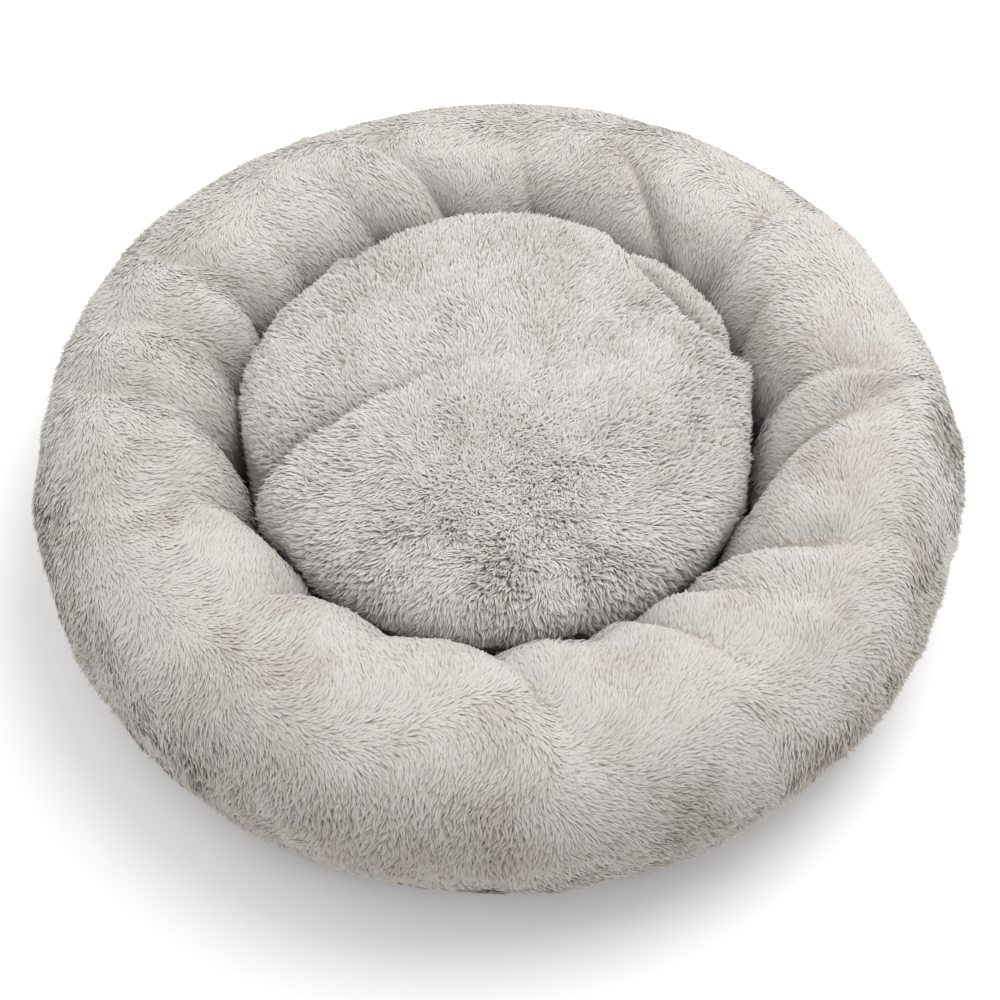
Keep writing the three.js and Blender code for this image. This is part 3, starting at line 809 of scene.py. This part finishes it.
def zipCoil(node, body):
    # a nylon coil wound along the edge of its tape
    cad = nodePoints(node)
    reach, turn = reachOf(cad), turnOf(cad)
    centre, high = (reach.max() + reach.min()) / 2, (cad[:, 2].max() + cad[:, 2].min()) / 2
    wire = zipDetail["coilWire"]
    halfOut = (reach.max() - reach.min()) / 2 - wire
    halfUp = (cad[:, 2].max() - cad[:, 2].min()) / 2 - wire
    length = (turn.max() - turn.min()) * centre - 2 * wire
    perTurn = zipDetail["coilSteps"]
    steps = int(length / zipDetail["coilPitch"]) * perTurn
    wind = np.arange(steps) / perTurn * fullTurn
    angle = turn.min() + wire / centre + np.arange(steps) / steps * length / centre
    out, up = halfOut * np.cos(wind), halfUp * np.sin(wind)
    line = np.stack([(centre + out) * np.cos(angle), (centre + out) * np.sin(angle), high + up], 1)
    along = unit(np.gradient(line, axis=0))
    away = np.stack([np.cos(wind) * np.cos(angle), np.cos(wind) * np.sin(angle), np.sin(wind)], 1)
    side = unit(np.cross(along, away))
    away = np.cross(side, along)
    sides = 5
    spin = np.arange(sides) / sides * fullTurn
    points = line[:, None] + wire * (
        away[:, None] * np.cos(spin)[None, :, None] + side[:, None] * np.sin(spin)[None, :, None]
    )
    piece = makeMesh(node + "_wound", points.reshape(-1, 3), gridFaces(steps, sides, True)[:, ::-1])
    piece.data.materials.append(coilNylon)
    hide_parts(node)
    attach(piece, body)


def stitchRow(name, body, middles, along, outward):
    # a row of short threads, each one thick in its middle and pointed at its ends
    half, width = zipDetail["stitchLength"] / 2, zipDetail["stitchWidth"] / 2
    side = unit(np.cross(along, outward))
    corners = [
        -along * half, side * width, outward * width, -side * width, -outward * width * 0.4, along * half,
    ]
    points = np.stack([middles + corner for corner in corners], 1)
    first = np.arange(len(middles))[:, None] * 6
    tris = []
    for k in range(4):
        after = (k + 1) % 4
        tris += [first + (0, 1 + after, 1 + k), first + (5, 1 + k, 1 + after)]
    piece = makeMesh(name, points.reshape(-1, 3), tris=np.concatenate(tris))
    piece.data.materials.append(thread)
    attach(piece, body)


def zipStitches(prefix, body):
    # two rows hold each tape to the cloth above it and the seam below it
    tape = nodePoints(prefix + "_zip_tape_upper", prefix + "_zip_tape_lower")
    reach = reachOf(tape).max()
    start, end = turnOf(tape).min() + 3 * mm / reach, turnOf(tape).max() - 3 * mm / reach
    turn = np.arange(start, end, zipDetail["stitchStep"] / reach)
    middles, alongs, outs = [], [], []
    top, bottom = tape[:, 2].max(), tape[:, 2].min()
    for height in (top - 2.2 * mm, bottom + 2.2 * mm):
        wave = height + 0.15 * mm * np.sin(turn * 90)
        out = np.stack([np.cos(turn), np.sin(turn), np.zeros(len(turn))], 1)
        middles.append(out * reach + np.stack([0 * turn, 0 * turn, wave], 1))
        alongs.append(np.stack([-np.sin(turn), np.cos(turn), np.zeros(len(turn))], 1))
        outs.append(out)
    stitchRow(
        prefix + "_zip_stitches", body,
        np.concatenate(middles), np.concatenate(alongs), np.concatenate(outs),
    )


def zipHem(prefix, body, surface, window, material, split):
    # the cut edge of the fur, turned under towards the zip's tapes; split is how far up the
    # surface the cut lies at most
    tape = nodePoints(prefix + "_zip_tape_upper", prefix + "_zip_tape_lower")
    inner = reachOf(tape).max() + 0.2 * mm
    start, end, top = window
    probe = np.linspace(0, split, 200)
    middleTurn = np.full(200, (start + end) / 2)
    profile = surface(middleTurn, probe, pile["backing"])
    rises = np.linspace(profile[0, 2] + 0.5 * mm, top, 12)
    turns = np.linspace(start, end, 120)
    path = [(start, z, 1, 0) for z in rises[:-1]] + [(t, top, 0, -1) for t in turns]
    path += [(end, z, -1, 0) for z in rises[-2::-1]]
    points = []
    for turn, z, aside, down in path:
        outer = np.interp(z, profile[:, 2], reachOf(profile))
        for share, slide in ((0, -0.4), (0.12, 0.5), (0.5, 1.1), (1, 1.6)):
            reach = outer + (inner - outer) * share
            angle = turn + aside * slide * mm / reach
            points.append((reach * math.cos(angle), reach * math.sin(angle), z + down * slide * mm))
    piece = makeMesh(prefix + "_zip_hem", np.array(points), gridFaces(len(path), 4, False))
    piece.data.materials.append(material)
    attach(piece, body)


def careLabel(node, body):
    # a strip of satin folded in half, sewn into the seam at its open end
    cad = nodePoints(node)
    middle = math.atan2(cad[:, 1].mean(), cad[:, 0].mean())
    out = np.array([math.cos(middle), math.sin(middle), 0])
    side = np.array([-math.sin(middle), math.cos(middle), 0])
    inner, outer = (cad @ out).min(), (cad @ out).max()
    half = np.abs((cad - out * inner) @ side).max()
    low, high = cad[:, 2].min(), cad[:, 2].max()
    sheet = 0.22 * mm
    radius = (high - low) / 2
    bend = np.linspace(-math.pi / 2, math.pi / 2, 9)
    section = [(inner, low)] + [
        (outer - radius + radius * math.cos(a), (low + high) / 2 + radius * math.sin(a)) for a in bend
    ] + [(inner, high)]
    inside = [(inner, high - sheet)] + [
        (outer - radius + (radius - sheet) * math.cos(a), (low + high) / 2 + (radius - sheet) * math.sin(a))
        for a in bend[::-1]
    ] + [(inner, low + sheet)]
    section = np.array(section + inside)
    across = np.linspace(-half, half, 24)
    points = (
        section[:, 0][:, None, None] * out + across[None, :, None] * side
        + section[:, 1][:, None, None] * np.array([0, 0, 1])
    )
    ripple = 0.12 * mm * np.sin(across / half * 5)[None, :]
    ripple = ripple * smoothStep(inner, outer, section[:, 0])[:, None]
    points[:, :, 2] += np.where(section[:, 1][:, None] > (low + high) / 2, ripple, 0)
    rows, columns = len(section), len(across)
    faces = gridFaces(rows, columns, False)
    first, last = np.arange(columns - 1), (rows - 1) * columns + np.arange(columns - 1)
    faces = np.concatenate([faces, np.stack([last, last + 1, first + 1, first], 1)])
    piece = makeMesh(node + "_folded", points.reshape(-1, 3), faces)
    piece.data.materials.append(labelCloth)
    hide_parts(node)
    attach(piece, body)
    spots = np.arange(-half + 2 * mm, half - 1 * mm, zipDetail["stitchStep"])
    count = len(spots)
    middles = out * (inner + 2 * mm) + spots[:, None] * side + np.array([0, 0, high + 0.05 * mm])
    stitchRow(
        node + "_stitches", body,
        middles, np.tile(side, (count, 1)), np.tile([0.0, 0.0, 1.0], (count, 1)),
    )


grip = {"spacing": 20 * mm, "radius": 2.2 * mm, "rise": 0.35 * mm, "margin": 12 * mm}


def gripDots():
    # rubber dots that keep the base from sliding
    panel = nodePoints("base_panel")
    reach, under = reachOf(panel).max() - grip["margin"], panel[:, 2].min()
    rows = int(reach / (grip["spacing"] * 0.866)) + 1
    spots = []
    for j in range(-rows, rows + 1):
        for i in range(-rows - 1, rows + 2):
            x, y = (i + 0.5 * (j % 2)) * grip["spacing"], j * grip["spacing"] * 0.866
            if math.hypot(x, y) < reach:
                spots.append((x, y, under))
    spots = np.array(spots)
    sides = 12
    spin = np.arange(sides) / sides * fullTurn
    ringShape = np.stack([np.cos(spin), -np.sin(spin), np.zeros(sides)], 1)
    rim = ringShape * grip["radius"] + (0, 0, 0.02 * mm)
    shoulder = ringShape * grip["radius"] * 0.75 - (0, 0, grip["rise"] * 0.8)
    shape = np.vstack([rim, shoulder, [(0, 0, -grip["rise"])]])
    points = (spots[:, None] + shape[None]).reshape(-1, 3)
    first = np.arange(len(spots))[:, None, None] * len(shape)
    k = np.arange(sides)
    after = (k + 1) % sides
    quads = first + np.stack([k, after, sides + after, sides + k], 1)[None]
    tris = first + np.stack([sides + k, sides + after, np.full(sides, 2 * sides)], 1)[None]
    piece = makeMesh("base_grip_dots", points, quads.reshape(-1, 4), tris.reshape(-1, 3))
    piece.data.materials.append(gripRubber)
    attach(piece, "nest")


def finishNode(name, material, bevel=0.0):
    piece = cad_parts[name]
    piece.data.materials.clear()
    piece.data.materials.append(material)
    if bevel:
        rounding = piece.modifiers.new("rounded", "BEVEL")
        rounding.width = bevel
        rounding.segments = 2
        rounding.limit_method = "ANGLE"
        rounding.angle_limit = math.radians(50)


for prefix, body in (("bolster", "nest"), ("cushion", "cushion")):
    for side in ("upper", "lower"):
        zipCoil(f"{prefix}_zip_coil_{side}", body)
        finishNode(f"{prefix}_zip_tape_{side}", zipTape)
    zipStitches(prefix, body)
    for part in ("stop_start", "stop_end", "slider", "pull"):
        finishNode(f"{prefix}_zip_{part}", zipMetal, 0.22 * mm)
    careLabel(prefix + "_care_label", body)
zipHem("bolster", "nest", ringSurface, ringWindow, backingCloth, 0.15)
zipHem("cushion", "cushion", cushionSurface, cushionWindow, backingCloth, 0.25)
gripDots()
finishNode("base_panel", baseCloth)
finishNode("base_edge_binding", bindingTape, 0.5 * mm)
finishNode("nest_floor_panel", liningCloth)
finishNode("inner_seam_tape", bindingTape, 0.4 * mm)
finishNode("cushion_underside_panel", liningCloth)
finishNode("cushion_edge_binding", bindingTape, 0.5 * mm)
print("zips, labels, panels and grip dots")


stage = {"floor": (0.93, 0.93, 0.93), "world": 0.8, "key": 26, "fill": 7}


def makeStage():
    bpy.ops.mesh.primitive_plane_add(size=12, location=(0, 0, -0.5 * mm))  # clear of the grip dots
    floor = bpy.context.object
    floor.name = "floor"
    paint, _, _, shader = newMaterial("floor_paint")
    shader.inputs["Base Color"].default_value = (*stage["floor"], 1)
    shader.inputs["Roughness"].default_value = 0.8
    floor.data.materials.append(paint)
    world = bpy.data.worlds.new("studio")
    world.use_nodes = True
    world.node_tree.nodes["Background"].inputs["Color"].default_value = (1, 1, 1, 1)
    world.node_tree.nodes["Background"].inputs["Strength"].default_value = stage["world"]
    bpy.context.scene.world = world


def areaLight(name, place, size, power):
    data = bpy.data.lights.new(name, "AREA")
    data.shape = "DISK"
    data.size = size
    data.energy = power
    light = bpy.data.objects.new(name, data)
    bpy.context.scene.collection.objects.link(light)
    light.location = place
    light.rotation_euler = (Vector((0, 0, 0.08)) - Vector(place)).to_track_quat("-Z", "Y").to_euler()


camera = {"elevation": 54.9, "distance": 1.12, "lens": 48.95, "aim": (0.002, 0, -0.006)}


def makeCamera():
    data = bpy.data.cameras.new("camera")
    data.lens = camera["lens"]
    cam = bpy.data.objects.new("camera", data)
    bpy.context.scene.collection.objects.link(cam)
    tilt = math.radians(camera["elevation"])
    back = Vector((0, -math.cos(tilt), math.sin(tilt)))
    cam.location = Vector(camera["aim"]) + back * camera["distance"]
    cam.rotation_euler = (-back).to_track_quat("-Z", "Y").to_euler()
    bpy.context.scene.camera = cam


makeStage()
areaLight("key", (0.75, 0.55, 1.9), 1.4, stage["key"])
areaLight("fill", (-0.9, 0.1, 1.9), 1.6, stage["fill"])
makeCamera()
bpy.context.scene.view_settings.view_transform = "Standard"
print("stage: floor, lights and camera")
